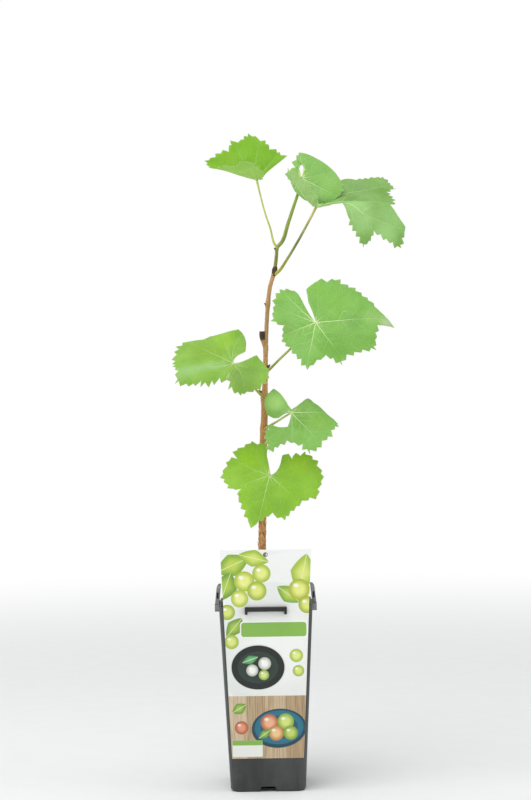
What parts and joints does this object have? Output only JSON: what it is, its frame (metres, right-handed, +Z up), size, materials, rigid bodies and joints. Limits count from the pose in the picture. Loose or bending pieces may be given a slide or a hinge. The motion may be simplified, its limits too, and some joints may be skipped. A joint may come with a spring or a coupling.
{
  "type": "potted young grapevine",
  "caption": "Young grapevine with a leaning woody stem and large lobed leaves, in a tall tapering square nursery pot with a picture card hooked on the front.",
  "frame": {"origin": "middle of the pot's flat underside, on the surface the pot stands on", "axes": "+Z up; the card and the front of the plant face -Y; +X is to the right seen from the front"},
  "size_m": [0.2454, 0.108, 0.7],
  "materials": {
    "pot": "satin charcoal moulded plastic",
    "soil": "loose brown compost",
    "card": "printed satin plastic card",
    "stem": "rough peeling bark",
    "bud": "dark scaly buds",
    "shoot": "green ribbed shoot",
    "stalk": "smooth green stalk",
    "leaf": "soft veined leaf, paler underneath"
  },
  "bodies": {
    "root": {"pot": "pot", "root_ball": "soil", "picture_card": "card", "woody_stem": "stem", "cut_spur": "stem", "top_node": "bud", "upper_node": "shoot", "bud_1": "bud", "bud_2": "bud", "green_shoot": "shoot", "leaf_stalk_1": "stalk", "leaf_stalk_2": "stalk", "leaf_stalk_3": "stalk", "leaf_stalk_4": "stalk", "leaf_stalk_5": "stalk", "leaf_stalk_6": "stalk", "leaf_stalk_7": "stalk", "leaf_1": "leaf", "leaf_2": "leaf", "leaf_3": "leaf", "leaf_4": "leaf", "leaf_5": "leaf", "leaf_6": "leaf", "leaf_7": "leaf"}
  },
  "joints": []
}
